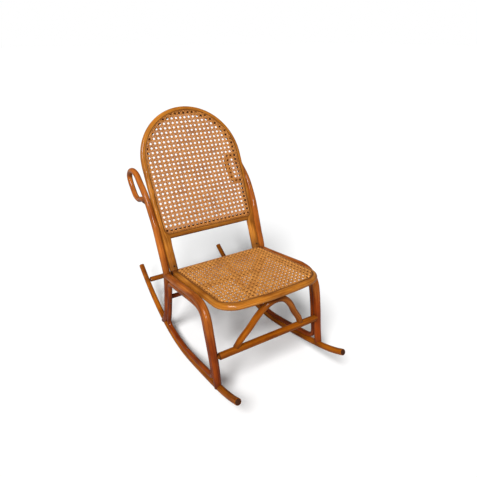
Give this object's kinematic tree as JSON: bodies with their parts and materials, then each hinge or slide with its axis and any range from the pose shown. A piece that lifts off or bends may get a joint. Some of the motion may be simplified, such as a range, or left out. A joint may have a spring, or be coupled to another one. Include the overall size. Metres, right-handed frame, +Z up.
{
  "type": "bentwood rocking chair",
  "caption": "Armless bentwood rocking chair with curved rockers, curled rear posts, side loops, an arched front brace, and caned seat and arched caned back.",
  "frame": {"origin": "on the floor, under the middle of the chair's bounding box", "axes": "+Z up; the sitter faces -Y, so +Y runs to the rear tips of the rockers; +X is the sitter's left, across the chair, which is symmetric about X = 0"},
  "size_m": [0.4998, 0.9482, 0.9239],
  "materials": {
    "rocker_wood": "brown stained beech, satin varnish, worn",
    "frame_wood": "red-brown stained beech, satin varnish, worn",
    "honey_wood": "honey stained beech, satin varnish",
    "cane": "woven natural cane, varnished golden tan"
  },
  "bodies": {
    "root": {"rocker_right": "rocker_wood", "rocker_left": "rocker_wood", "front_leg_right": "frame_wood", "front_leg_left": "frame_wood", "rear_post_right": "frame_wood", "rear_post_left": "frame_wood", "side_loop_right": "frame_wood", "side_loop_left": "frame_wood", "front_stretcher": "rocker_wood", "front_arch": "rocker_wood", "rear_rocker_bar": "rocker_wood", "rear_post_bar": "frame_wood", "seat_frame": "honey_wood", "seat_rear_rail": "honey_wood", "seat_dowel_right": "honey_wood", "seat_dowel_left": "honey_wood", "seat_cane": "cane", "seat_spline": "cane", "back_hoop": "honey_wood", "back_lower_rail": "honey_wood", "back_cane": "cane", "back_spline": "cane"}
  },
  "joints": []
}
